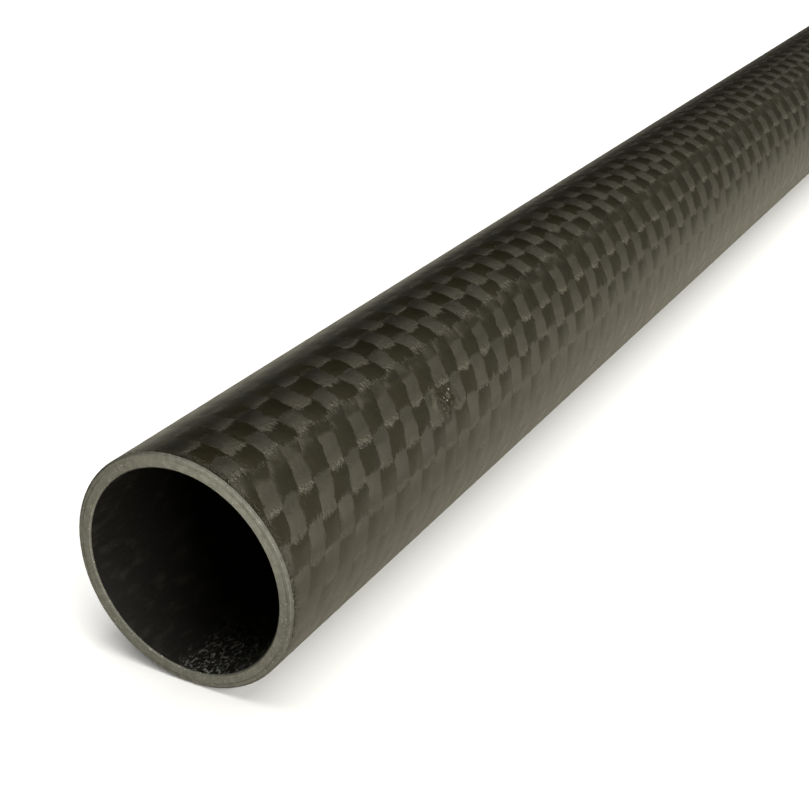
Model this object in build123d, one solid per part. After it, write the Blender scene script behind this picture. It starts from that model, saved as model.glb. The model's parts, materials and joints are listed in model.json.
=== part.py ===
from build123d import *
import os

# Round carbon fibre tube, roll-wrapped and cut to a stock length, lying along X.
# The origin is on the axis, halfway along the tube. Millimetres.

OUTER_DIAMETER = 16.0
WALL = 1.0
LENGTH = 500.0
OUTER_EDGE_BREAK = 0.15  # chamfer that deburring leaves round the outside of a sawn end
BORE_EDGE_BREAK = 0.10  # the same round the mouth of the bore

OUTER_RADIUS = OUTER_DIAMETER / 2
BORE_RADIUS = OUTER_RADIUS - WALL


def tube():
    """The wall as a ring swept both ways from mid-length, with its four end edges broken."""
    with BuildPart() as wall:
        with BuildSketch(Plane.YZ):
            Circle(OUTER_RADIUS)
            Circle(BORE_RADIUS, mode=Mode.SUBTRACT)
        extrude(amount=LENGTH / 2, both=True)
        end_edges = wall.edges().filter_by(GeomType.CIRCLE).group_by(SortBy.RADIUS)
        chamfer(end_edges[-1], OUTER_EDGE_BREAK)
        chamfer(end_edges[0], BORE_EDGE_BREAK)
    return wall.part


os.makedirs("parts", exist_ok=True)
export_step(tube(), "parts/tube.step")
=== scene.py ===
import json
from math import atan2, cos, exp, hypot, pi, radians, sin, tau

import bpy
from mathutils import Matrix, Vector


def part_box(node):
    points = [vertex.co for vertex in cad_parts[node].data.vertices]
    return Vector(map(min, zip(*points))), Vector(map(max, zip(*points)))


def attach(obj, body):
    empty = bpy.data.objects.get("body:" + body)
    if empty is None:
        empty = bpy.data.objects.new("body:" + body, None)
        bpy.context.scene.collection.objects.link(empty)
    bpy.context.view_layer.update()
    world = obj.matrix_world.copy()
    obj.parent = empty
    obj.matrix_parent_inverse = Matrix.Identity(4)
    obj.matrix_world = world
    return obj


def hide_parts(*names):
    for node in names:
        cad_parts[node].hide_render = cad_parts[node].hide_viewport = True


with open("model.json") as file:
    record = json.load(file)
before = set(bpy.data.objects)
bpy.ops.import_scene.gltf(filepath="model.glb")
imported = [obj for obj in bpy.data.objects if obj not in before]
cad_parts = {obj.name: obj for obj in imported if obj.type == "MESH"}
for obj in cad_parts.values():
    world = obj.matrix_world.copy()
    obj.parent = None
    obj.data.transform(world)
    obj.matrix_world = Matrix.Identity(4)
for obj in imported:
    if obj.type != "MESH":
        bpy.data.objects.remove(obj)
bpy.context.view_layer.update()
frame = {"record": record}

# Lengths are in metres, in the part's own frame. A place round the tube is an angle from the top,
# growing towards -Y, which is the side that the camera looks at.

MM = 0.001
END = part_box("tube")[1].x
FLOOR_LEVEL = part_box("tube")[0].z
mounts = {mount["name"]: mount for mount in frame["record"]["mounts"]}
RADIUS = mounts["outside"]["dims"]["r_mm"] * MM
BORE = mounts["bore"]["dims"]["r_mm"] * MM
WALL = RADIUS - BORE
OUTER_EDGE_BREAK = 0.15 * MM
BORE_EDGE_BREAK = 0.10 * MM
FACE_RINGS = (0.15, 0.32, 0.5, 0.68, 0.9)  # how far through the wall the cut face's rings lie
HAIR = 0.01 * MM  # places closer than this count as one
WELD = 0.1 * MM  # as the sheet closes on itself, vertices closer than this are merged

# The outer ply is plain-woven cloth of 3K tows: 25 lie along the tube, side by side, and 280
# go round it. The cloth's two edges meet in a seam along the tube.
ROWS = 25
HOOPS = 280
SEAM_WIDTH = 0.55 * MM
ROW_PITCH = (tau * RADIUS - SEAM_WIDTH) / ROWS
FIRST_ROW_AT = radians(35.1)
FIRST_HOOP_AT = 0.12  # where the saw cut through the weave, in hoops
SKEW = 4.95  # how far a hoop has crept along the tube when it has gone once round, in hoops
SKEW_REACH = 7.95  # it leans most beside the first row, and 0.37 as much this many rows on
WANDER = 0.57  # how far the hoops wander to and fro along the tube, in hoops
WANDER_LENGTH = 250 * MM
TOW_RISE = 0.013 * MM  # height of each crossing over the corners between the tows
FIBRE_SWING = 0.13 * MM  # the fibres under the clear epoxy rise and dive further than its surface
HOOP_CROWN, ROW_CROWN, CRIMP = 1.2, 0.95, 0.6  # how round each tow is, and how far it dives
FIBRE_CROWN = 0.25
SEAM_ROWS = SEAM_WIDTH / ROW_PITCH
LAST_ROW_ENDS = ROWS - 0.16  # its ragged edge, past which the seam shows
RAGGED = 0.28  # how far that edge strays, in rows
SINK_FROM, SINK_TO = 0.6, -0.4  # the fibres sink beside the seam, over these rows from each edge
FIRST_SINK, LAST_SINK = 0.55, 1.6  # and this far, in the units of their height
WEAVE_BLURRED, WEAVE_CLEAR = -0.05, 0.32  # past the seam the weave comes clear over these rows
EDGE_FIBRES = 0.25  # the row at which the cloth's outermost fibres stop diving
BACK_ROW = ROWS / 2 + 0.4  # opposite the seam
FIRM_TO, BROKEN_FROM = 11.25, 11.75  # rows from there: further on, the tongues' ends are broken most
FIRM = 0.45  # how far the firm ones are broken
EDGE_BLUR = 0.08  # half the lead over which one tow gives way to the other
TRIMMED = 0.45 * MM  # beside each sawn end the relief is gone
PLY_LINE = 7.62 * MM  # radius at which the woven ply lies on the lengthwise ones

# The one knock in the skin, a ragged pit where the fibres are broken.
NICK_AT = 21.9 * MM  # from the near end
NICK_TURN = radians(57)
NICK_REACH = 1.35 * MM
NICK_CORE = 0.3 * NICK_REACH  # within this it is at its worst
NICK_FINE = 1.2 * NICK_REACH  # within this the sheet is cut finer
NICK_CUTS = 8  # across each of its quads
NICK_DEPTH = 0.16 * MM
TORN_BELOW = 0.02 * MM  # under the pressed weave by more than this, the surface is torn
NICK_ON_SHEET = (NICK_AT - END, 0, pi * RADIUS - (NICK_TURN - FIRST_ROW_AT) * RADIUS)
NICK_ROW = (NICK_TURN - FIRST_ROW_AT) * RADIUS / ROW_PITCH
LOOSE_AT = NICK_AT - 0.9 * MM  # beside the nick, and a little above it, fibres have come loose
LOOSE_TURN = radians(54.5)
LOOSE_FIBRES_AT = (LOOSE_AT - END, -RADIUS * sin(LOOSE_TURN), RADIUS * cos(LOOSE_TURN))
QUADS_PER_ROW = 3
QUADS_PER_HOOP = 4
BORE_RINGS = 60

# How large the marks on the surfaces are.
STRAY_LENGTH = 1.1 * MM  # over which the tows stray to and fro
SMEAR_LENGTH = 1.6 * MM  # in the seam
BROKEN_END = 0.2 * MM  # pale fibre ends with a painted highlight, and pinholes with painted shade
EPOXY_BUMP = 0.05 * MM
EDGE_HOLES_FROM, EDGE_HOLES_FULL = 0.8 * MM, 0.2 * MM  # pinholes beside the sawn edge
PIT_CRUMB, TORN_CRUMB, TORN_BUMP = 0.7 * MM, 0.35 * MM, 0.08 * MM  # in the nick
SAW_GRAIN, SAW_SPECK, SAW_BUMP = 0.5 * MM, 0.12 * MM, 0.03 * MM  # on the cut ends
RIM_FROM, RIM_FULL = 0.2 * MM, 0.1 * MM  # the rim, rougher and darker inwards from the outside
LINE_PATCH = 4 * MM  # over which the line between the plies comes and goes
LINE_FADES, LINE_CORE = 0.06 * MM, 0.01 * MM  # from the line's middle
PAINTED_SHEEN_SIDE = (0, -0.57, 0.82)  # the side of the cut ends painted lighter, a painted sheen
DRAG_MARK, REFLECTION_BLOT, TUFT, BORE_BUMP = 0.18 * MM, 0.8 * MM, 0.22 * MM, 0.06 * MM  # in the bore
TUFTS_FROM, TUFTS_FULL = 8 * MM, 2 * MM  # the torn fibres there, from the saw cut
GLINT_TUFT_SIDE = (0, -0.42, -0.91)  # the side of the bore where they lie and are painted pale as glints

# The map for baking is a square of strips, each as wide as the square. The weave repeats every 28
# hoops, so the skin shares one strip of them over and over, and what occurs once has its own place.
REPEAT = 28
END_HOOP = 1.9 * MM  # the length of skin beside each sawn end that has its own strip
NICK_PATCH = 2.6 * MM
NICK_ROWS = 1.6  # the rows each side of the nick that its place has room for
NICK_MIDDLE, NICK_HALF = 0.045, 0.035  # its place across the square
BORE_STARTS = 0.1  # beside that, the bore's
MOUTH = 8.5 * MM  # the length of bore wall beside each end that has its own strip
STRIPS = {
    "skin": (0.002, 0.58),
    "near skin": (0.586, 0.61),
    "far skin": (0.616, 0.64),
    "near cut": (0.646, 0.68),
    "far cut": (0.686, 0.72),
    "near mouth": (0.726, 0.82),
    "far mouth": (0.826, 0.92),
    "bore": (0.926, 0.996),
    "nick": (0.926, 0.996),
}

# The camera, from the middle of the near cut face.
CAMERA_FROM_FACE = Vector((-60.1, -48.6, 46.8)) * MM
CAMERA_HEADING = radians(28.9)  # from +X towards +Y
CAMERA_PITCH = radians(-25.0)
LENS, SENSOR = 65.3, 36.0

CUT_END, BORE_WALL, TORN = 1, 2, 3  # the places of their materials, after the skin's

# What is round the tube.
FLOOR_SIZE = 1.5
GLOW_BEHIND = 12 * MM  # so far behind the tube's axis the floor glows in full
GLOW_FROM, GLOW_FULL = 0.35, 0.6  # and on all sides so far from the middle of the tube
LAMPS_AIM_AT = Vector((-END + 50 * MM, 0, 0))


def linear(code):
    """An sRGB hex colour as the linear RGBA that a shader takes."""
    parts = [int(code[i : i + 2], 16) / 255 for i in (1, 3, 5)]
    return [p / 12.92 if p <= 0.04045 else ((p + 0.055) / 1.055) ** 2.4 for p in parts] + [1.0]


def add(tree, kind, feeds=None, out=0, **settings):
    """Adds one node with its settings. feeds gives its inputs a value, or the socket to link."""
    made = tree.nodes.new(kind)
    for name, value in settings.items():
        setattr(made, name, value)
    for place, value in (feeds or {}).items():
        if isinstance(value, bpy.types.NodeSocket):
            tree.links.new(value, made.inputs[place])
        else:
            made.inputs[place].default_value = value
    return made.outputs[out] if made.outputs else made


def blank_material(name):
    """A new material and its node tree, with nothing in it."""
    material = bpy.data.materials.new(name)
    material.use_nodes = True
    material.node_tree.nodes.clear()
    return material, material.node_tree


def plain_weave(tree, hoop, row, fray=0.0):
    """Which tow shows, and how high it lies, from a place counted in tows each way.

    Each tow is a low ridge that rises over one crossing and dives under the next, and the higher
    of two ridges shows. The hoops are pulled tighter, so they stand out more and their ends show
    as tongues. fray moves the edge between two tows. Returns the share of the hoop on top, its
    lead over the row, the height of the fibres, the height of the cured skin over them (0 in the
    corners between four tows, 1 on the middle of each crossing), the ends of the tongues, and how
    near the lower end is of the tongue that lies on, or just above, the place."""
    bow, swing, number = {}, {}, {}
    for name, place in (("hoop", hoop), ("row", row)):
        within = add(tree, "ShaderNodeMath", {0: place}, operation="FRACT")
        rest = add(tree, "ShaderNodeMath", {0: 1.0, 1: within}, operation="SUBTRACT")
        slope = add(tree, "ShaderNodeMath", {0: within, 1: 4.0}, operation="MULTIPLY")
        bow[name] = add(tree, "ShaderNodeMath", {0: slope, 1: rest}, operation="MULTIPLY")
        turn = add(tree, "ShaderNodeMath", {0: place, 1: pi}, operation="MULTIPLY")
        wave = add(tree, "ShaderNodeMath", {0: turn}, operation="SINE")
        swing[name] = add(tree, "ShaderNodeMath", {0: wave}, operation="ABSOLUTE")
        number[name] = add(tree, "ShaderNodeMath", {0: place}, operation="FLOOR")
    total = add(tree, "ShaderNodeMath", {0: number["hoop"], 1: number["row"]}, operation="ADD")
    odd = add(tree, "ShaderNodeMath", {0: total, 1: 2.0}, operation="FLOORED_MODULO")
    rise = add(tree, "ShaderNodeMath", {0: odd, 1: 2 * CRIMP, 2: -CRIMP}, operation="MULTIPLY_ADD")
    dive = add(tree, "ShaderNodeMath", {0: rise, 1: -1.0}, operation="MULTIPLY")
    top, fibre = {}, {}
    sides = (("hoop", "row", rise, HOOP_CROWN), ("row", "hoop", dive, ROW_CROWN))
    for name, other, sign, crown in sides:
        path = add(tree, "ShaderNodeMath", {0: swing[other], 1: sign}, operation="MULTIPLY")
        top[name] = add(
            tree, "ShaderNodeMath", {0: bow[name], 1: crown, 2: path}, operation="MULTIPLY_ADD"
        )
        fibre[name] = add(
            tree, "ShaderNodeMath", {0: bow[name], 1: FIBRE_CROWN, 2: path}, operation="MULTIPLY_ADD"
        )
    gain = add(tree, "ShaderNodeMath", {0: top["hoop"], 1: top["row"]}, operation="SUBTRACT")
    lead = add(tree, "ShaderNodeMath", {0: gain, 1: fray}, operation="ADD")
    on_top = add(
        tree,
        "ShaderNodeMapRange",
        {"Value": lead, "From Min": -EDGE_BLUR, "From Max": EDGE_BLUR},
        interpolation_type="SMOOTHSTEP",
    )
    fibres = add(tree, "ShaderNodeMix", {0: on_top, 2: fibre["row"], 3: fibre["hoop"]})
    both = add(tree, "ShaderNodeMath", {0: swing["hoop"], 1: swing["row"]}, operation="ADD")
    skin = add(tree, "ShaderNodeMath", {0: both, 1: 0.5}, operation="MULTIPLY")
    tips = add(
        tree,
        "ShaderNodeMath",
        {0: swing["hoop"], 1: swing["row"]},
        operation="SUBTRACT",
        use_clamp=True,
    )
    lower = add(tree, "ShaderNodeMix", {0: odd, 2: rest, 3: within})
    return on_top, lead, fibres, skin, tips, lower


def cross_seam(tree, counted, ragged):
    """The row at a place: past the last row's ragged edge, the first row begins under it.

    Returns the row, how far past that edge the place is, how far the fibres sink beside the seam,
    in the units of their height, and how clearly the weave shows: it blurs out towards the seam."""
    past = add(tree, "ShaderNodeMath", {0: counted, 1: LAST_ROW_ENDS}, operation="SUBTRACT")
    over = add(tree, "ShaderNodeMath", {0: past, 1: ragged}, operation="ADD")
    under = add(tree, "ShaderNodeMath", {0: over, 1: 0.0}, operation="GREATER_THAN")
    row = add(
        tree, "ShaderNodeMath", {0: under, 1: -ROWS - SEAM_ROWS, 2: counted}, operation="MULTIPLY_ADD"
    )
    sink = 0.0
    for edge, inward, depth in ((0, 1, FIRST_SINK), (ROWS, -1, LAST_SINK)):
        start = edge + inward * SINK_FROM
        end = edge + inward * SINK_TO
        reach = add(tree, "ShaderNodeMapRange", {"Value": row, "From Min": start, "From Max": end})
        bent = add(tree, "ShaderNodeMath", {0: reach, 1: reach}, operation="MULTIPLY")
        sink = add(tree, "ShaderNodeMath", {0: bent, 1: depth, 2: sink}, operation="MULTIPLY_ADD")
    shown = add(
        tree,
        "ShaderNodeMapRange",
        {"Value": row, "From Min": WEAVE_BLURRED, "From Max": WEAVE_CLEAR},
        interpolation_type="SMOOTHSTEP",
    )
    return row, over, sink, shown


def lean_hoops(tree, straight, row, x):
    """The count of hoops at a place, from the count on straight cloth: they lean and wander."""
    fall = add(tree, "ShaderNodeMath", {0: row, 1: -1 / SKEW_REACH}, operation="MULTIPLY")
    left = add(tree, "ShaderNodeMath", {0: fall}, operation="EXPONENT")
    started = add(tree, "ShaderNodeMath", {0: straight, 1: SKEW}, operation="ADD")
    leaned = add(tree, "ShaderNodeMath", {0: left, 1: -SKEW, 2: started}, operation="MULTIPLY_ADD")
    turn = add(
        tree,
        "ShaderNodeMapRange",
        {"Value": x, "From Min": -END, "From Max": -END + WANDER_LENGTH, "To Max": tau},
        clamp=False,
    )
    sway = add(tree, "ShaderNodeMath", {0: turn}, operation="SINE")
    part = add(tree, "ShaderNodeMath", {0: row, 1: pi / ROWS}, operation="MULTIPLY")
    share = add(tree, "ShaderNodeMath", {0: part}, operation="COSINE")
    wander = add(tree, "ShaderNodeMath", {0: sway, 1: share}, operation="MULTIPLY")
    return add(tree, "ShaderNodeMath", {0: wander, 1: WANDER, 2: leaned}, operation="MULTIPLY_ADD")


def nick_share(tree, place, middle):
    """1 in the middle of the nick, falling to 0 round it."""
    away = add(tree, "ShaderNodeVectorMath", {0: place, 1: middle}, out="Value", operation="DISTANCE")
    return add(
        tree,
        "ShaderNodeMapRange",
        {"Value": away, "From Min": NICK_REACH, "From Max": NICK_CORE},
        interpolation_type="SMOOTHSTEP",
    )


def press_weave(sheet):
    """Counts the tows on the flat sheet, keeps the count as a UV map, and presses the weave in.

    The map counts straight cloth, the hoops along U and the rows along V."""
    tree = bpy.data.node_groups.new("pressed weave", "GeometryNodeTree")
    tree.interface.new_socket("Geometry", in_out="INPUT", socket_type="NodeSocketGeometry")
    tree.interface.new_socket("Geometry", in_out="OUTPUT", socket_type="NodeSocketGeometry")
    place = add(tree, "GeometryNodeInputPosition")
    x = add(tree, "ShaderNodeSeparateXYZ", {0: place}, out="X")
    around = add(tree, "ShaderNodeSeparateXYZ", {0: place}, out="Z")
    straight = add(
        tree,
        "ShaderNodeMapRange",
        {
            "Value": x,
            "From Min": -END,
            "From Max": END,
            "To Min": FIRST_HOOP_AT,
            "To Max": FIRST_HOOP_AT + HOOPS,
        },
        clamp=False,
    )
    row = add(
        tree,
        "ShaderNodeMapRange",
        {
            "Value": around,
            "From Min": pi * RADIUS,
            "From Max": pi * RADIUS - ROWS * ROW_PITCH,
            "To Max": ROWS,
        },
        clamp=False,
    )
    hoop = lean_hoops(tree, straight, row, x)
    height = plain_weave(tree, hoop, add(tree, "ShaderNodeClamp", {0: row, 2: ROWS}))[3]
    dip = add(tree, "ShaderNodeMath", {0: 1.0, 1: height}, operation="SUBTRACT")
    from_middle = add(tree, "ShaderNodeMath", {0: x}, operation="ABSOLUTE")
    depth = add(
        tree,
        "ShaderNodeMapRange",
        {
            "Value": from_middle,
            "From Min": END - OUTER_EDGE_BREAK - TRIMMED,
            "From Max": END - OUTER_EDGE_BREAK,
            "To Min": TOW_RISE,
            "To Max": 0.0,
        },
    )
    broken = nick_share(tree, place, NICK_ON_SHEET)
    crumbs = add(
        tree, "ShaderNodeTexNoise", {"Vector": place, "Scale": 1 / PIT_CRUMB, "Detail": 4.0}, out="Fac"
    )
    rough = add(tree, "ShaderNodeMapRange", {"Value": crumbs, "From Min": 0.48, "From Max": 0.56})
    torn = add(tree, "ShaderNodeMath", {0: broken, 1: rough}, operation="MULTIPLY")
    pit = add(tree, "ShaderNodeMath", {0: torn, 1: NICK_DEPTH}, operation="MULTIPLY")
    sunk = add(tree, "ShaderNodeMath", {0: dip, 1: depth, 2: pit}, operation="MULTIPLY_ADD")
    mapped = add(
        tree,
        "GeometryNodeStoreNamedAttribute",
        {
            "Geometry": add(tree, "NodeGroupInput"),
            "Name": "tows",
            "Value": add(tree, "ShaderNodeCombineXYZ", {"X": straight, "Y": row}),
        },
        data_type="FLOAT2",
        domain="CORNER",
    )
    offset = add(tree, "ShaderNodeCombineXYZ", {"Y": sunk})
    pressed = add(tree, "GeometryNodeSetPosition", {"Geometry": mapped, "Offset": offset})
    tree.links.new(pressed, tree.nodes.new("NodeGroupOutput").inputs[0])
    sheet.modifiers.new("Pressed weave", "NODES").node_group = tree
    bpy.ops.object.modifier_apply(modifier="Pressed weave")


def select_where(piece, test, mode="VERT"):
    """Goes into edit mode with only the vertices or faces selected whose middle passes the test."""
    bpy.ops.object.mode_set(mode="EDIT")
    bpy.ops.mesh.select_mode(type=mode)
    bpy.ops.mesh.select_all(action="DESELECT")
    bpy.ops.object.mode_set(mode="OBJECT")
    if mode == "VERT":
        for vertex in piece.data.vertices:
            vertex.select = test(vertex.co)
    else:
        for face in piece.data.polygons:
            face.select = test(face.center)
    bpy.ops.object.mode_set(mode="EDIT")


def woven_sheet():
    """The outer ply as a flat sheet in the XZ plane, as long as the tube and one turn wide."""
    bpy.ops.mesh.primitive_grid_add(
        x_subdivisions=HOOPS * QUADS_PER_HOOP,
        y_subdivisions=ROWS * QUADS_PER_ROW,
        size=1,
        calc_uvs=False,
        location=(0, 0, SEAM_WIDTH / 2),
        rotation=(radians(90), 0, 0),
    )
    sheet = bpy.context.object
    sheet.name = "woven_tube"
    sheet.scale = (2 * (END - OUTER_EDGE_BREAK), ROWS * ROW_PITCH, 1)
    bpy.ops.object.transform_apply(location=True, rotation=True, scale=True)
    last_edge = pi * RADIUS - ROWS * ROW_PITCH
    select_where(sheet, lambda co: co.z < last_edge + HAIR)
    bpy.ops.mesh.extrude_edges_move(TRANSFORM_OT_translate={"value": (0, 0, -SEAM_WIDTH)})
    bpy.ops.object.mode_set(mode="OBJECT")
    middle = Vector(NICK_ON_SHEET)
    select_where(sheet, lambda co: (co - middle).length < NICK_FINE, "FACE")
    bpy.ops.mesh.subdivide(number_cuts=NICK_CUTS)
    bpy.ops.object.mode_set(mode="OBJECT")
    press_weave(sheet)
    return sheet


def roll_up(sheet):
    """Bends the flat sheet into one full turn round X, and turns it so that the seam lies right."""
    bend = sheet.modifiers.new("Roll", "SIMPLE_DEFORM")
    bend.deform_method = "BEND"
    bend.deform_axis = "X"
    bend.angle = tau
    bpy.ops.object.modifier_apply(modifier="Roll")
    sheet.location.y = -RADIUS
    bpy.ops.object.transform_apply(location=True)
    sheet.rotation_euler.x = FIRST_ROW_AT + radians(90)
    bpy.ops.object.transform_apply(rotation=True)
    bpy.ops.object.mode_set(mode="EDIT")
    bpy.ops.mesh.select_all(action="SELECT")
    bpy.ops.mesh.remove_doubles(threshold=WELD)
    bpy.ops.object.mode_set(mode="OBJECT")


def close_wall(wall):
    """Works each end loop inwards over the broken edge, the cut face and the mouth of the bore,
    then joins the two ends along the bore."""
    rings = [RADIUS - WALL * part for part in FACE_RINGS] + [BORE]
    for side in (-1, 1):
        select_where(wall, lambda co: side * co.x > END - OUTER_EDGE_BREAK - HAIR)
        bpy.ops.mesh.select_mode(type="EDGE")
        radius = RADIUS
        moves = [side * OUTER_EDGE_BREAK, 0, 0, 0, 0, -side * BORE_EDGE_BREAK]
        for ring, move in zip(rings, moves):
            bpy.ops.mesh.extrude_edges_move(TRANSFORM_OT_translate={"value": (move, 0, 0)})
            scale = ring / radius
            bpy.ops.transform.resize(value=(1, scale, scale), center_override=(0, 0, 0))
            radius = ring
        bpy.ops.object.mode_set(mode="OBJECT")
    select_where(wall, lambda co: hypot(co.y, co.z) < BORE + HAIR)
    bpy.ops.mesh.select_mode(type="EDGE")
    bpy.ops.mesh.bridge_edge_loops(number_cuts=BORE_RINGS - 1, interpolation="LINEAR")
    bpy.ops.mesh.select_all(action="SELECT")
    bpy.ops.mesh.normals_make_consistent(inside=False)
    bpy.ops.object.mode_set(mode="OBJECT")
    bpy.ops.object.shade_smooth_by_angle(angle=radians(30))


def woven_carbon():
    """Carbon cloth cured under shrink tape and rubbed down: a warm near-black with a silky sheen.

    The tows shine across their fibres, so those that go round catch the light from the side and
    those that lie along the tube stay darker. The clear epoxy over them gives the even sheen that
    hides the weave where the skin is seen at a low angle."""
    material, tree = blank_material("satin_carbon_plain_weave")
    count = add(tree, "ShaderNodeUVMap", uv_map="tows")
    place = add(tree, "ShaderNodeTexCoord", out="Object")

    # The tows stray by up to a tenth of a tow.
    stray = add(
        tree,
        "ShaderNodeTexNoise",
        {"Vector": place, "Scale": 1 / STRAY_LENGTH, "Detail": 3.0},
        out="Color",
    )
    offset = add(tree, "ShaderNodeVectorMath", {0: stray, 1: (0.5, 0.5, 0.5)}, operation="SUBTRACT")
    moved = add(
        tree, "ShaderNodeVectorMath", {0: offset, 1: (0.4, 0.4, 0), 2: count}, operation="MULTIPLY_ADD"
    )
    straight = add(tree, "ShaderNodeSeparateXYZ", {0: moved}, out="X")
    counted = add(tree, "ShaderNodeSeparateXYZ", {0: moved}, out="Y")
    x = add(tree, "ShaderNodeSeparateXYZ", {0: place}, out="X")

    # The cloth's cut edge on the seam is a comb of loose filament ends.
    comb = add(tree, "ShaderNodeVectorMath", {0: moved, 1: (9, 0.6, 1)}, operation="MULTIPLY")
    ends = add(
        tree,
        "ShaderNodeTexNoise",
        {"Vector": comb, "Scale": 1.0, "Detail": 2.0},
        noise_dimensions="2D",
    )
    ragged = add(tree, "ShaderNodeMapRange", {"Value": ends, "To Min": -RAGGED, "To Max": RAGGED})
    row, over, sink, shown = cross_seam(tree, counted, ragged)
    hoop = lean_hoops(tree, straight, row, x)
    tows = add(tree, "ShaderNodeCombineXYZ", {"X": hoop, "Y": row})

    # Filaments are 0.007 mm thick, too fine to show: they are drawn as bundles of 0.08 mm. Some
    # end before the others, which leaves the tongues ragged.
    streaks = {}
    for name, stretch in (("row", (1.3, 26, 1)), ("hoop", (22, 1.3, 1))):
        run = add(tree, "ShaderNodeVectorMath", {0: tows, 1: stretch}, operation="MULTIPLY")
        streaks[name] = add(
            tree,
            "ShaderNodeTexNoise",
            {"Vector": run, "Scale": 1.0, "Detail": 2.0},
            noise_dimensions="2D",
        )
    longer = add(tree, "ShaderNodeMapRange", {"Value": streaks["hoop"], "To Min": -0.9, "To Max": 0.9})
    shorter = add(tree, "ShaderNodeMapRange", {"Value": streaks["row"], "To Min": 0.4, "To Max": -0.4})
    fray = add(tree, "ShaderNodeMath", {0: longer, 1: shorter}, operation="ADD")
    inner = add(tree, "ShaderNodeClamp", {0: row, 1: EDGE_FIBRES, 2: ROWS - EDGE_FIBRES})
    clear, lead, fibres, _, tips, lower = plain_weave(tree, hoop, inner, fray)

    # In the seam the two edges are pressed into each other, and the weave blurs.
    smear = add(
        tree,
        "ShaderNodeTexNoise",
        {"Vector": place, "Scale": 1 / SMEAR_LENGTH, "Detail": 2.0},
        out="Fac",
    )
    blurred = add(
        tree,
        "ShaderNodeMapRange",
        {"Value": smear, "From Min": 0.35, "From Max": 0.65, "To Min": 0.2, "To Max": 0.5},
    )
    on_top = add(tree, "ShaderNodeMix", {0: shown, 2: blurred, 3: clear})
    level = add(tree, "ShaderNodeMath", {0: fibres, 1: sink}, operation="SUBTRACT")
    filaments = add(tree, "ShaderNodeMix", {0: on_top, 2: streaks["row"], 3: streaks["hoop"]})

    # Each tongue's lower end is lifted and broken, worst in the rows beside the seam: its fibre
    # ends are pale and carry a painted highlight, and dark pinholes lie just past them, painted
    # near-black with the shade in them. So it is along the seam itself, and pinholes lie along the
    # sawn edge.
    grit = add(
        tree, "ShaderNodeTexNoise", {"Vector": place, "Scale": 1 / BROKEN_END, "Detail": 3.0}, out="Fac"
    )
    low = add(
        tree,
        "ShaderNodeMapRange",
        {"Value": lower, "From Min": 0.78, "From Max": 0.98},
        interpolation_type="SMOOTHSTEP",
    )
    off_centre = add(tree, "ShaderNodeMath", {0: row, 1: BACK_ROW}, operation="SUBTRACT")
    rows_off = add(tree, "ShaderNodeMath", {0: off_centre}, operation="ABSOLUTE")
    broken = add(
        tree,
        "ShaderNodeMapRange",
        {
            "Value": rows_off,
            "From Min": FIRM_TO,
            "From Max": BROKEN_FROM,
            "To Min": FIRM,
            "To Max": 1.0,
        },
    )
    low = add(tree, "ShaderNodeMath", {0: low, 1: broken}, operation="MULTIPLY")
    brim = add(tree, "ShaderNodeMapRange", {"Value": over, "From Min": -0.25, "From Max": -0.1})
    inside = add(tree, "ShaderNodeMath", {0: over, 1: 0.0}, operation="LESS_THAN")
    edge = add(tree, "ShaderNodeMath", {0: brim, 1: inside}, operation="MULTIPLY")
    ending = add(tree, "ShaderNodeMath", {0: low, 1: edge}, operation="MAXIMUM")
    lit = add(tree, "ShaderNodeMath", {0: ending, 1: clear}, operation="MULTIPLY")
    bits = add(
        tree, "ShaderNodeMapRange", {"Value": grit, "From Min": 0.42, "From Max": 0.62, "To Min": 0.1}
    )
    pale = add(tree, "ShaderNodeMath", {0: lit, 1: bits}, operation="MULTIPLY")
    past = add(tree, "ShaderNodeMapRange", {"Value": lead, "From Min": -0.7, "From Max": -0.15})
    before = add(tree, "ShaderNodeMapRange", {"Value": lead, "From Min": 0.05, "From Max": -0.1})
    beside = add(tree, "ShaderNodeMath", {0: past, 1: before}, operation="MULTIPLY")
    under_tip = add(tree, "ShaderNodeMath", {0: beside, 1: low}, operation="MULTIPLY")
    gap = add(tree, "ShaderNodeMath", {0: under_tip, 1: tips}, operation="MULTIPLY")
    step = add(
        tree, "ShaderNodeMapRange", {"Value": over, "From Min": 0.12, "From Max": 0.0, "To Max": 0.6}
    )
    outside = add(tree, "ShaderNodeMath", {0: over, 1: 0.0}, operation="GREATER_THAN")
    crack = add(tree, "ShaderNodeMath", {0: step, 1: outside}, operation="MULTIPLY")
    from_middle = add(tree, "ShaderNodeMath", {0: x}, operation="ABSOLUTE")
    sawn = add(
        tree,
        "ShaderNodeMapRange",
        {
            "Value": from_middle,
            "From Min": END - EDGE_HOLES_FROM,
            "From Max": END - EDGE_HOLES_FULL,
            "To Max": 0.7,
        },
    )
    wide = add(tree, "ShaderNodeMath", {0: gap, 1: crack}, operation="MAXIMUM")
    open_at = add(tree, "ShaderNodeMath", {0: wide, 1: sawn}, operation="MAXIMUM")
    grain = add(tree, "ShaderNodeMapRange", {"Value": grit, "From Min": 0.54, "From Max": 0.44})
    pinholes_and_shade = add(tree, "ShaderNodeMath", {0: open_at, 1: grain}, operation="MULTIPLY")

    # Beside the nick the fibres have come loose in strands, painted lighter and darker, one by one,
    # as they catch the light.
    torn = nick_share(tree, place, LOOSE_FIBRES_AT)
    pulled = add(tree, "ShaderNodeVectorMath", {0: tows, 1: (7, 0.5, 1)}, operation="MULTIPLY")
    strands = add(tree, "ShaderNodeTexNoise", {"Vector": pulled, "Scale": 1.0}, noise_dimensions="2D")
    strand = add(
        tree,
        "ShaderNodeMapRange",
        {"Value": strands, "From Min": 0.4, "From Max": 0.6, "To Min": -0.9, "To Max": 1.9},
    )
    combed = add(tree, "ShaderNodeMath", {0: torn, 1: strand, 2: 1.0}, operation="MULTIPLY_ADD")
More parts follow.
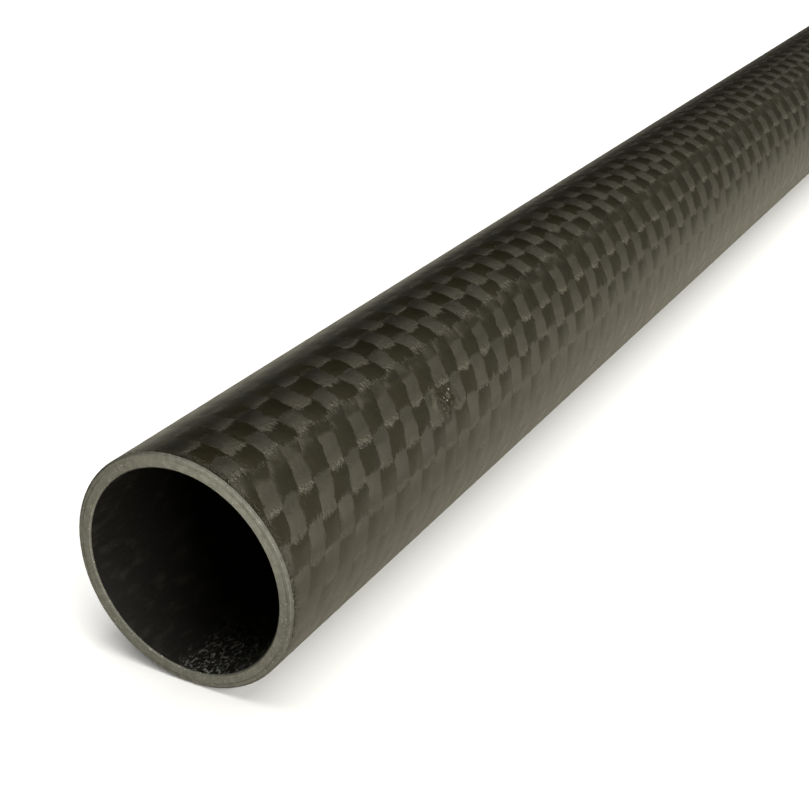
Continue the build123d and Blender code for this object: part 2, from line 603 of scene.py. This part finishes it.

    # The tows along the tube are painted darker and browner than those round it: painted shade for
    # the sheen that they catch less. No two cells have quite one tone.
    cells = add(tree, "ShaderNodeVectorMath", {0: tows}, operation="FLOOR")
    tint = add(tree, "ShaderNodeTexWhiteNoise", {"Vector": cells}, noise_dimensions="2D")
    shade = add(
        tree,
        "ShaderNodeMapRange",
        {"Value": filaments, "From Min": 0.2, "From Max": 0.8, "To Min": 0.7, "To Max": 1.3},
    )
    cell = add(tree, "ShaderNodeMapRange", {"Value": tint, "To Min": 0.8, "To Max": 1.2})
    drawn = add(tree, "ShaderNodeMath", {0: shade, 1: combed}, operation="MULTIPLY")
    both = add(tree, "ShaderNodeMath", {0: drawn, 1: cell}, operation="MULTIPLY")
    colour = add(
        tree,
        "ShaderNodeMix",
        {0: on_top, 6: linear("#120f04"), 7: linear("#1d1b15")},
        out=2,
        data_type="RGBA",
    )
    scaled = add(tree, "ShaderNodeVectorMath", {0: colour, "Scale": both}, operation="SCALE")
    # The tongues' tips are painted pale: broken fibre ends with a painted highlight.
    pale_tips_and_highlight = add(
        tree, "ShaderNodeMix", {0: pale, 6: scaled, 7: linear("#3d3a30")}, out=2, data_type="RGBA"
    )
    # Pinholes painted near-black: dark voids and the shade in them.
    pitted = add(
        tree, "ShaderNodeMix", {0: pinholes_and_shade, 6: pale_tips_and_highlight, 7: linear("#060503")}, out=2, data_type="RGBA"
    )

    # The sheen runs across the fibres, so it makes a quarter turn from one kind of tow to the other.
    turn = add(tree, "ShaderNodeMapRange", {"Value": on_top, "To Min": 0.25, "To Max": 0.0})
    combs = add(tree, "ShaderNodeMath", {0: combed, 1: 0.45, 2: level}, operation="MULTIPLY_ADD")
    relief = add(tree, "ShaderNodeMath", {0: filaments, 1: 0.07, 2: combs}, operation="MULTIPLY_ADD")
    raised = add(tree, "ShaderNodeMath", {0: pale, 1: 0.4, 2: relief}, operation="MULTIPLY_ADD")
    sunk = add(tree, "ShaderNodeMath", {0: pinholes_and_shade, 1: -0.5, 2: raised}, operation="MULTIPLY_ADD")
    normal = add(tree, "ShaderNodeBump", {"Height": sunk, "Strength": 1.0, "Distance": FIBRE_SWING})
    bumps = add(tree, "ShaderNodeMath", {0: pale, 1: 0.5}, operation="MULTIPLY")
    film = add(tree, "ShaderNodeMath", {0: pinholes_and_shade, 1: -0.3, 2: bumps}, operation="MULTIPLY_ADD")
    film_normal = add(tree, "ShaderNodeBump", {"Height": film, "Strength": 1.0, "Distance": EPOXY_BUMP})
    satin = add(tree, "ShaderNodeMapRange", {"Value": filaments, "To Min": 0.38, "To Max": 0.48})
    rough = add(tree, "ShaderNodeMix", {0: pinholes_and_shade, 2: satin, 3: 0.9})
    coat = add(
        tree, "ShaderNodeMapRange", {"Value": pinholes_and_shade, "From Max": 0.7, "To Min": 0.7, "To Max": 0.05}
    )
    surface = add(
        tree,
        "ShaderNodeBsdfPrincipled",
        {
            "Base Color": pitted,
            "Roughness": rough,
            "IOR": 1.5,
            "Specular Tint": linear("#fff6da"),
            "Anisotropic": 0.83,
            "Anisotropic Rotation": turn,
            "Tangent": add(tree, "ShaderNodeTangent", direction_type="UV_MAP", uv_map="tows"),
            "Coat Weight": coat,
            "Coat Roughness": 0.22,
            "Coat IOR": 1.5,
            "Coat Normal": film_normal,
            "Normal": normal,
        },
    )
    add(tree, "ShaderNodeOutputMaterial", {"Surface": surface})
    return material


def torn_fibres():
    """The inside of the nick: dull black fibres and crumbled epoxy, with a few pale broken ends painted
    as glints.
    """
    material, tree = blank_material("torn_carbon_fibres")
    place = add(tree, "ShaderNodeTexCoord", out="Object")
    crumbs = add(
        tree, "ShaderNodeTexNoise", {"Vector": place, "Scale": 1 / TORN_CRUMB, "Detail": 4.0}, out="Fac"
    )
    # Pale broken ends, painted brighter as glints.
    pale = add(tree, "ShaderNodeMapRange", {"Value": crumbs, "From Min": 0.6, "From Max": 0.7})
    colour = add(
        tree,
        "ShaderNodeMix",
        {0: pale, 6: linear("#14120b"), 7: linear("#524f44")},
        out=2,
        data_type="RGBA",
    )
    normal = add(tree, "ShaderNodeBump", {"Height": crumbs, "Strength": 1.0, "Distance": TORN_BUMP})
    surface = add(
        tree,
        "ShaderNodeBsdfPrincipled",
        {
            "Base Color": colour,
            "Roughness": 0.8,
            "IOR": 1.4,
            "Specular Tint": linear("#fff4cc"),
            "Normal": normal,
        },
    )
    add(tree, "ShaderNodeOutputMaterial", {"Surface": surface})
    return material


def sawn_end():
    """The laminate's edge, sawn square and sanded: matt warm grey with circular sanding marks.

    A thin dark line shows where the woven ply lies on the lengthwise ones."""
    material, tree = blank_material("sanded_carbon_laminate_edge")
    place = add(tree, "ShaderNodeTexCoord", out="Object")
    flat = add(tree, "ShaderNodeVectorMath", {0: place, 1: (0, 1, 1)}, operation="MULTIPLY")
    radius = add(tree, "ShaderNodeVectorMath", {0: flat}, out="Value", operation="LENGTH")

    grain = add(
        tree, "ShaderNodeTexNoise", {"Vector": place, "Scale": 1 / SAW_GRAIN, "Detail": 5.0}, out="Fac"
    )
    mottle = add(
        tree,
        "ShaderNodeMapRange",
        {"Value": grain, "From Min": 0.3, "From Max": 0.7, "To Min": 0.75, "To Max": 1.2},
    )
    # Pale specks: resin chips, painted brighter as glints.
    specks = add(tree, "ShaderNodeTexNoise", {"Vector": place, "Scale": 1 / SAW_SPECK}, out="Fac")
    glint = add(
        tree,
        "ShaderNodeMapRange",
        {"Value": specks, "From Min": 0.64, "From Max": 0.72, "To Max": 0.6},
    )

    # The dark line between the plies comes and goes round the tube.
    from_line = add(tree, "ShaderNodeMath", {0: radius, 1: PLY_LINE}, operation="SUBTRACT")
    off_line = add(tree, "ShaderNodeMath", {0: from_line}, operation="ABSOLUTE")
    line = add(
        tree, "ShaderNodeMapRange", {"Value": off_line, "From Min": LINE_FADES, "From Max": LINE_CORE}
    )
    patchy = add(
        tree, "ShaderNodeTexNoise", {"Vector": flat, "Scale": 1 / LINE_PATCH, "Detail": 2.0}, out="Fac"
    )
    shows = add(
        tree,
        "ShaderNodeMapRange",
        {"Value": patchy, "From Min": 0.4, "From Max": 0.6, "To Min": 0.1, "To Max": 0.6},
    )
    drawn = add(tree, "ShaderNodeMath", {0: line, 1: shows}, operation="MULTIPLY")
    outer = add(
        tree,
        "ShaderNodeMapRange",
        {"Value": from_line, "From Min": 0.0, "From Max": 0.04 * MM, "To Min": 1.0, "To Max": 0.9},
    )
    broken = add(
        tree,
        "ShaderNodeMapRange",
        {"Value": radius, "From Min": RADIUS - RIM_FROM, "From Max": RADIUS - RIM_FULL},
    )
    rim = add(tree, "ShaderNodeMapRange", {"Value": broken, "To Min": 1.0, "To Max": 0.42})
    lip = add(
        tree,
        "ShaderNodeMapRange",
        {"Value": radius, "From Min": BORE, "From Max": BORE + 1.2 * BORE_EDGE_BREAK, "To Min": 0.5},
    )
    # One side of the cut face is painted lighter: a painted sheen on its sanding marks.
    toward_sheen = add(
        tree, "ShaderNodeVectorMath", {0: place, 1: PAINTED_SHEEN_SIDE}, out="Value", operation="DOT_PRODUCT"
    )
    painted_sheen = add(
        tree,
        "ShaderNodeMapRange",
        {
            "Value": toward_sheen,
            "From Min": 0.45 * RADIUS,
            "From Max": 0.95 * RADIUS,
            "To Min": 1.0,
            "To Max": 1.7,
        },
    )
    share = mottle
    for part in (outer, rim, lip, painted_sheen):
        share = add(tree, "ShaderNodeMath", {0: share, 1: part}, operation="MULTIPLY")
    colour = add(
        tree, "ShaderNodeVectorMath", {0: linear("#6f6f67")[:3], "Scale": share}, operation="SCALE"
    )
    lined = add(
        tree, "ShaderNodeMix", {0: drawn, 6: colour, 7: linear("#2b2a24")}, out=2, data_type="RGBA"
    )
    bright = add(tree, "ShaderNodeMath", {0: glint, 1: rim}, operation="MULTIPLY")
    flecked = add(
        tree, "ShaderNodeMix", {0: bright, 6: lined, 7: linear("#c9c6b8")}, out=2, data_type="RGBA"
    )
    rough = add(tree, "ShaderNodeMapRange", {"Value": broken, "To Min": 0.5, "To Max": 0.9})
    groove = add(tree, "ShaderNodeMath", {0: drawn, 1: -1.0, 2: grain}, operation="MULTIPLY_ADD")
    normal = add(tree, "ShaderNodeBump", {"Height": groove, "Strength": 0.4, "Distance": SAW_BUMP})
    surface = add(
        tree,
        "ShaderNodeBsdfPrincipled",
        {
            "Base Color": flecked,
            "Roughness": rough,
            "IOR": 1.5,
            "Specular Tint": linear("#fff4cc"),
            "Anisotropic": 0.8,
            "Tangent": add(tree, "ShaderNodeTangent", direction_type="RADIAL", axis="X"),
            "Normal": normal,
        },
    )
    add(tree, "ShaderNodeOutputMaterial", {"Surface": surface})
    return material


def bore_wall():
    """The inner ply as the waxed mandrel left it: black, with lengthwise drag marks and lighter patches
    painted as reflections.

    Below, beside each mouth, the saw has left torn fibres, painted pale as glints where they catch the
    light."""
    material, tree = blank_material("mandrel_side_carbon")
    place = add(tree, "ShaderNodeTexCoord", out="Object")
    dragged = add(tree, "ShaderNodeVectorMath", {0: place, 1: (0.12, 1, 1)}, operation="MULTIPLY")
    marks = add(
        tree,
        "ShaderNodeTexNoise",
        {"Vector": dragged, "Scale": 1 / DRAG_MARK, "Detail": 3.0},
        out="Fac",
    )
    # Lighter patches, painted as reflections on the black wall.
    pulled = add(tree, "ShaderNodeVectorMath", {0: place, 1: (0.45, 1, 1)}, operation="MULTIPLY")
    reflection_blots = add(
        tree, "ShaderNodeTexNoise", {"Vector": pulled, "Scale": 1 / REFLECTION_BLOT, "Detail": 3.0}, out="Fac"
    )
    reflection_patch = add(tree, "ShaderNodeMapRange", {"Value": reflection_blots, "From Min": 0.52, "From Max": 0.7})
    colour = add(
        tree,
        "ShaderNodeMix",
        {0: reflection_patch, 6: linear("#141310"), 7: linear("#211f1a")},
        out=2,
        data_type="RGBA",
    )
    x = add(tree, "ShaderNodeSeparateXYZ", {0: place}, out="X")
    from_middle = add(tree, "ShaderNodeMath", {0: x}, operation="ABSOLUTE")
    # Torn fibres near each mouth, on its lower side, painted pale as glints.
    mouth = add(
        tree,
        "ShaderNodeMapRange",
        {"Value": from_middle, "From Min": END - TUFTS_FROM, "From Max": END - TUFTS_FULL},
    )
    under = add(
        tree, "ShaderNodeVectorMath", {0: place, 1: GLINT_TUFT_SIDE}, out="Value", operation="DOT_PRODUCT"
    )
    low = add(
        tree, "ShaderNodeMapRange", {"Value": under, "From Min": 0.8 * BORE, "From Max": 0.97 * BORE}
    )
    near = add(tree, "ShaderNodeMath", {0: mouth, 1: low}, operation="MULTIPLY")
    fine = add(tree, "ShaderNodeVectorMath", {0: place, 1: (0.7, 1, 1)}, operation="MULTIPLY")
    tufts = add(
        tree, "ShaderNodeTexNoise", {"Vector": fine, "Scale": 1 / TUFT, "Detail": 5.0}, out="Fac"
    )
    torn = add(tree, "ShaderNodeMapRange", {"Value": tufts, "From Min": 0.53, "From Max": 0.63})
    fibres = add(tree, "ShaderNodeMath", {0: near, 1: torn}, operation="MULTIPLY")
    tufts_and_glints = add(
        tree, "ShaderNodeMix", {0: fibres, 6: colour, 7: linear("#77776f")}, out=2, data_type="RGBA"
    )
    height = add(tree, "ShaderNodeMath", {0: fibres, 1: 1.5, 2: marks}, operation="MULTIPLY_ADD")
    normal = add(tree, "ShaderNodeBump", {"Height": height, "Strength": 0.6, "Distance": BORE_BUMP})
    surface = add(
        tree,
        "ShaderNodeBsdfPrincipled",
        {"Base Color": tufts_and_glints, "Roughness": 0.4, "IOR": 1.5, "Normal": normal},
    )
    add(tree, "ShaderNodeOutputMaterial", {"Surface": surface})
    return material


def lay_bake_map(wall):
    """Lays out the UV map for baking, on which the skin keeps the pitch of its weave. Each place on
    it is a share of a turn or a count of hoops across, and a strip upwards."""
    wall.data.uv_layers.new(name="OFBake")
    counts = wall.data.uv_layers["tows"].uv
    places = wall.data.uv_layers["OFBake"].uv
    nick = Vector((NICK_AT - END, -RADIUS * sin(NICK_TURN), RADIUS * cos(NICK_TURN)))
    for face in wall.data.polygons:
        side = "near" if face.center.x < 0 else "far"
        from_end = END - abs(face.center.x)
        facing = atan2(-face.center.y, face.center.z)
        kind = face.material_index
        for loop in face.loop_indices:
            co = wall.data.vertices[wall.data.loops[loop].vertex_index].co
            straight, row = counts[loop].vector
            depth = RADIUS - hypot(co.y, co.z)
            inward = END - abs(co.x)
            angle = atan2(-co.y, co.z)
            turn = (angle + tau * round((facing - angle) / tau)) / tau + 0.5
            if kind == CUT_END:
                along = depth + (inward if depth > WALL / 2 else -inward) + OUTER_EDGE_BREAK
                across, strip = turn, side + " cut"
                part = along / (WALL + OUTER_EDGE_BREAK + BORE_EDGE_BREAK)
            elif kind == BORE_WALL and from_end < MOUTH:
                across, strip, part = turn, side + " mouth", inward / MOUTH
            elif kind == BORE_WALL:
                across = BORE_STARTS + (1 - BORE_STARTS) * (0.5 + co.x / END / 2)
                strip, part = "bore", turn
            elif (face.center - nick).length < NICK_PATCH:
                across = NICK_MIDDLE + NICK_HALF * (co.x - nick.x) / NICK_PATCH
                strip, part = "nick", 0.5 + 0.45 * (row - NICK_ROW) / NICK_ROWS
            elif from_end < END_HOOP:
                across, strip, part = row / (ROWS + SEAM_ROWS), side + " skin", inward / END_HOOP
            else:
                wander = WANDER * sin(tau * (co.x + END) / WANDER_LENGTH) * cos(row * pi / ROWS)
                hoop = straight + SKEW - SKEW * exp(-row / SKEW_REACH) + wander
                across, strip, part = hoop / REPEAT - 1, "skin", row / (ROWS + SEAM_ROWS)
            low, high = STRIPS[strip]
            places[loop].vector = (across, low + (high - low) * part)


def dress(wall):
    """Gives the skin, the cut ends, the bore and the nick their materials."""
    for material in (woven_carbon(), sawn_end(), bore_wall(), torn_fibres()):
        wall.data.materials.append(material)
    for face in wall.data.polygons:
        if abs(face.center.x) > END - OUTER_EDGE_BREAK:
            face.material_index = CUT_END
        elif hypot(face.center.y, face.center.z) < BORE + BORE_EDGE_BREAK / 2:
            face.material_index = BORE_WALL
        elif hypot(face.center.y, face.center.z) < RADIUS - TOW_RISE - TORN_BELOW:
            face.material_index = TORN


def white_floor():
    """A white card that the tube lies on. Behind the tube and far from it, it glows for the camera
    alone, as the photograph's background does, and keeps the shadow on the camera's side.

    The tube mirrors it darker than the camera sees it, and darkest towards its own far end."""
    bpy.ops.mesh.primitive_plane_add(size=FLOOR_SIZE, location=(0, 0, FLOOR_LEVEL))
    floor = bpy.context.object
    floor.name = "floor"
    material, tree = blank_material("white_card")
    seen = add(tree, "ShaderNodeLightPath", out="Is Camera Ray")
    place = add(tree, "ShaderNodeTexCoord", out="Object")
    across = add(tree, "ShaderNodeSeparateXYZ", {0: place}, out="Y")
    behind = add(
        tree,
        "ShaderNodeMapRange",
        {"Value": across, "From Min": 0.0, "From Max": GLOW_BEHIND, "To Min": 0.02, "To Max": 0.3},
    )
    away = add(tree, "ShaderNodeVectorMath", {0: place}, out="Value", operation="LENGTH")
    beyond = add(
        tree,
        "ShaderNodeMapRange",
        {"Value": away, "From Min": GLOW_FROM, "From Max": GLOW_FULL, "To Max": 0.3},
    )
    paler = add(tree, "ShaderNodeMath", {0: behind, 1: beyond}, operation="MAXIMUM")
    glow = add(tree, "ShaderNodeMath", {0: seen, 1: paler}, operation="MULTIPLY")
    along = add(tree, "ShaderNodeSeparateXYZ", {0: place}, out="X")
    far = add(tree, "ShaderNodeMapRange", {"Value": along, "From Min": -0.15, "From Max": 0.0})
    mirrored = add(
        tree,
        "ShaderNodeMix",
        {0: far, 6: linear("#a9a596"), 7: linear("#7c796e")},
        out=2,
        data_type="RGBA",
    )
    colour = add(
        tree, "ShaderNodeMix", {0: seen, 6: mirrored, 7: linear("#f4f3f0")}, out=2, data_type="RGBA"
    )
    surface = add(
        tree,
        "ShaderNodeBsdfPrincipled",
        {
            "Base Color": colour,
            "Roughness": 0.9,
            "IOR": 1.3,
            "Emission Color": linear("#ffffff"),
            "Emission Strength": glow,
        },
    )
    add(tree, "ShaderNodeOutputMaterial", {"Surface": surface})
    floor.data.materials.append(material)


def light_studio():
    """A dim room, paler on the camera's right, a large soft lamp there and weaker ones above.

    On the far side only the strip over the floor is pale, which leaves the top of the tube dark
    and gives its far edge a thin sheen. Past the tube's far end the room is darker."""
    world = bpy.data.worlds.new("pale_room")
    bpy.context.scene.world = world
    world.use_nodes = True
    tree = world.node_tree
    tree.nodes.clear()
    seen = add(tree, "ShaderNodeLightPath", out="Is Camera Ray")
    outward = add(tree, "ShaderNodeTexCoord", out="Generated")
    across = add(tree, "ShaderNodeSeparateXYZ", {0: outward}, out="Y")
    upward = add(tree, "ShaderNodeSeparateXYZ", {0: outward}, out="Z")
    far_side = add(tree, "ShaderNodeMapRange", {"Value": across, "From Min": -0.35, "From Max": 0.3})
    strip = add(
        tree,
        "ShaderNodeMapRange",
        {"Value": upward, "From Min": 0.0, "From Max": 0.22, "To Min": 0.4, "To Max": 0.02},
    )
    along = add(tree, "ShaderNodeSeparateXYZ", {0: outward}, out="X")
    beyond = add(
        tree,
        "ShaderNodeMapRange",
        {"Value": along, "From Min": 0.76, "From Max": 0.93, "To Min": 1.0, "To Max": 0.27},
    )
    dimmer = add(
        tree,
        "ShaderNodeMapRange",
        {"Value": along, "From Min": 0.74, "From Max": 0.88, "To Min": 1.0, "To Max": 0.32},
    )
    behind = add(tree, "ShaderNodeMath", {0: strip, 1: dimmer}, operation="MULTIPLY")
    sides = add(tree, "ShaderNodeMix", {0: far_side, 2: 0.36, 3: behind})
    glow = add(tree, "ShaderNodeMath", {0: sides, 1: beyond}, operation="MULTIPLY")
    strength = add(tree, "ShaderNodeMix", {0: seen, 2: glow, 3: 1.0})
    colour = add(
        tree,
        "ShaderNodeMix",
        {0: seen, 6: linear("#fffce6"), 7: linear("#ffffff")},
        out=2,
        data_type="RGBA",
    )
    room = add(tree, "ShaderNodeBackground", {"Color": colour, "Strength": strength})
    add(tree, "ShaderNodeOutputWorld", {"Surface": room})
    for name, offset, size, power in (
        ("key_softbox", (-0.55, -1.67, 0.61), 1.4, 55),
        ("upper_softbox", (0.0, -0.6, 1.95), 1.6, 27),
        ("overhead_softbox", (-0.1, 0.35, 2.0), 1.2, 11),
    ):
        offset = Vector(offset)
        bpy.ops.object.light_add(type="AREA", location=LAMPS_AIM_AT + offset)
        lamp = bpy.context.object
        lamp.name = name
        lamp.rotation_euler = offset.to_track_quat("Z", "Y").to_euler()
        lamp.data.size = size
        lamp.data.energy = power


def place_camera():
    """The camera at the photograph's viewing angle."""
    place = Vector((-END, 0, 0)) + CAMERA_FROM_FACE
    turn = (radians(90) + CAMERA_PITCH, 0, CAMERA_HEADING - radians(90))
    bpy.ops.object.camera_add(location=place, rotation=turn)
    camera = bpy.context.object
    camera.data.lens = LENS
    camera.data.sensor_width = SENSOR
    camera.data.clip_start = 5 * MM
    bpy.context.scene.camera = camera


bpy.ops.object.select_all(action="DESELECT")
tube = woven_sheet()
roll_up(tube)
close_wall(tube)
dress(tube)
lay_bake_map(tube)
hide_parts("tube")
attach(tube, "root")

white_floor()
light_studio()
place_camera()
bpy.context.scene.view_settings.view_transform = "Standard"
